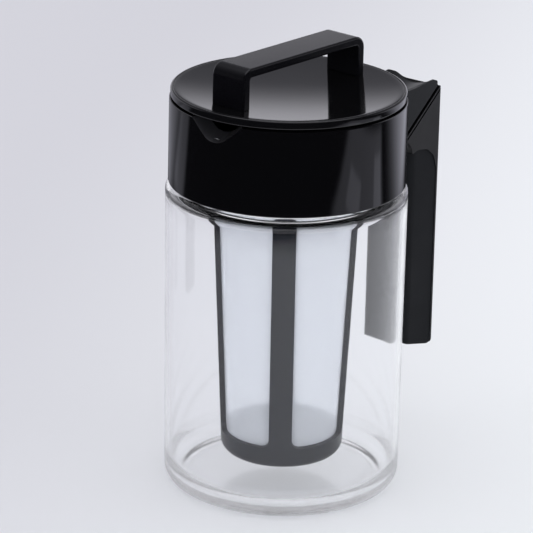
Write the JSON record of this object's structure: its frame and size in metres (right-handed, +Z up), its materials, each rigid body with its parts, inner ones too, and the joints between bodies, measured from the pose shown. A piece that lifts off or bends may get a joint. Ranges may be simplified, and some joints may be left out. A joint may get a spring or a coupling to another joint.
{
  "type": "cold brew coffee maker",
  "caption": "Clear cold brew pitcher with a black collar and pouring scoop, side handle, lift-off turning lid with a bar handle, and a hanging mesh filter.",
  "frame": {"origin": "centre of the base's footprint on the surface that the pitcher stands on, on the pitcher's axis", "axes": "+Z up along the pitcher's axis, -Y towards the pouring scoop, +Y towards the side handle"},
  "size_m": [0.1094, 0.1571, 0.2045],
  "materials": {
    "clear_body": "clear, smooth, moulded",
    "gloss_black": "high gloss moulded",
    "lid_black": "mirror gloss moulded",
    "liner_black": "satin moulded",
    "matte_black": "fine matt texture",
    "grip_rubber": "soft touch, matt",
    "bar_black": "satin moulded",
    "frame_black": "satin moulded",
    "mesh_white": "fine woven mesh",
    "seal_rubber": "silicone",
    "screw_steel": "plain steel"
  },
  "bodies": {
    "pitcher": {"pitcher_body": "clear_body", "collar": "gloss_black", "collar_sleeve": "liner_black", "neck_seal": "seal_rubber", "arm_screws": "screw_steel", "handle_arm": "matte_black", "grip_sleeve": "grip_rubber"},
    "lid_seal": {"lid_seal": "seal_rubber"},
    "lid": {"lid_cover": "lid_black", "lid_plug": "liner_black", "lid_handle": "bar_black", "lid_handle_screws": "screw_steel"},
    "filter": {"filter_frame": "frame_black", "filter_mesh": "mesh_white"}
  },
  "joints": [
    {"name": "lid_lift", "type": "slide", "parent": "pitcher", "child": "lid_seal", "axis": [0, 0, 1], "range_m": [0, 0.2]},
    {"name": "lid_turn", "type": "hinge", "parent": "lid_seal", "child": "lid", "pos_m": [0, 0, 0.1825], "axis": [0, 0, 1], "continuous": true},
    {"name": "filter_twist", "type": "hinge", "parent": "lid", "child": "filter", "pos_m": [0, 0, 0.155], "axis": [0, 0, 1], "range_deg": [0, 30]}
  ]
}
